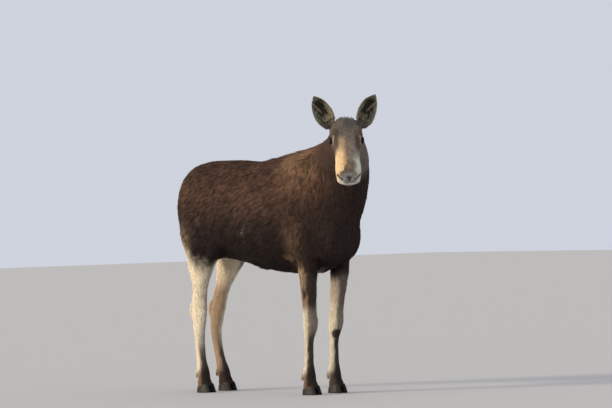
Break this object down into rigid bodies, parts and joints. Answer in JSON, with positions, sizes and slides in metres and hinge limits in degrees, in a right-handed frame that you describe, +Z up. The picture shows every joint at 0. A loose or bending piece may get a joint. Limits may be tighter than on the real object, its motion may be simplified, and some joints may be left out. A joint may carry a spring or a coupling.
{
  "type": "moose model",
  "caption": "Life-size still model of a standing moose cow in winter coat, without antlers, its head turned to look to its right.",
  "frame": {"origin": "on the floor, under the middle of the whole model's box", "axes": "+X from tail to chest, +Y to the moose's left, +Z up"},
  "size_m": [2.2078, 0.705, 2.138],
  "materials": {
    "coat_body": "dark chocolate-brown winter hair over hide",
    "coat_head": "short grey-brown hair over hide, buff on the muzzle",
    "coat_legs": "short pale grey-buff hair over hide, dark brown at the front and round the feet",
    "coat_ears": "olive-grey hair over thin gristle, pale at the edge",
    "eyes": "wet and dark",
    "horn": "worn grey-black horn"
  },
  "bodies": {
    "root": {"trunk": "coat_body", "neck": "coat_body", "tail": "coat_body", "head": "coat_head", "foreleg_right": "coat_legs", "foreleg_left": "coat_legs", "hindleg_right": "coat_legs", "hindleg_left": "coat_legs", "ear_right": "coat_ears", "eye_right": "eyes", "ear_left": "coat_ears", "eye_left": "eyes", "hoof_fore_right_inner": "horn", "dewclaw_fore_right_inner": "horn", "hoof_fore_right_outer": "horn", "dewclaw_fore_right_outer": "horn", "hoof_fore_left_inner": "horn", "dewclaw_fore_left_inner": "horn", "hoof_fore_left_outer": "horn", "dewclaw_fore_left_outer": "horn", "hoof_hind_right_inner": "horn", "dewclaw_hind_right_inner": "horn", "hoof_hind_right_outer": "horn", "dewclaw_hind_right_outer": "horn", "hoof_hind_left_inner": "horn", "dewclaw_hind_left_inner": "horn", "hoof_hind_left_outer": "horn", "dewclaw_hind_left_outer": "horn"}
  },
  "joints": []
}
